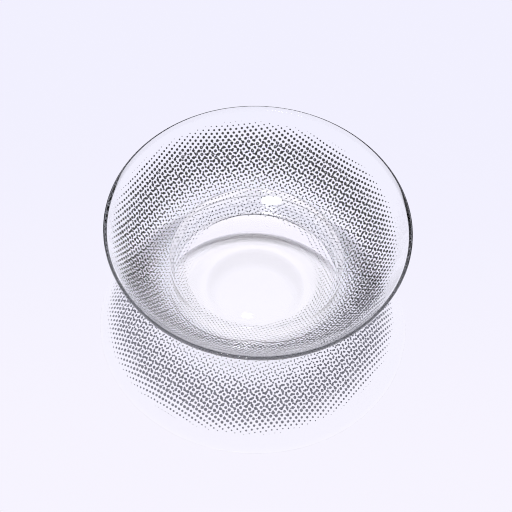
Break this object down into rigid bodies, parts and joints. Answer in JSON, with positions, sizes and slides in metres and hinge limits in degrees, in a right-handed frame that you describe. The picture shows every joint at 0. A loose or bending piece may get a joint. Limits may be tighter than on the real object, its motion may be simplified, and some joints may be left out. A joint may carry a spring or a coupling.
{
  "type": "coloured contact lens",
  "caption": "Soft coloured contact lens: a thin clear bowl that rests on the eye, with a ring of printed dots round a clear pupil.",
  "frame": {"origin": "centre of the rest spot on the crown of the convex front surface, where the lens stands bowl up", "axes": "+Z along the lens axis, from the crown towards the open bowl; +X and +Y across the rim"},
  "size_m": [0.0144, 0.0144, 0.0039],
  "materials": {
    "hydrogel": "clear wet gloss with a printed ring of black and grey dots"
  },
  "bodies": {
    "root": {"lens": "hydrogel"}
  },
  "joints": []
}
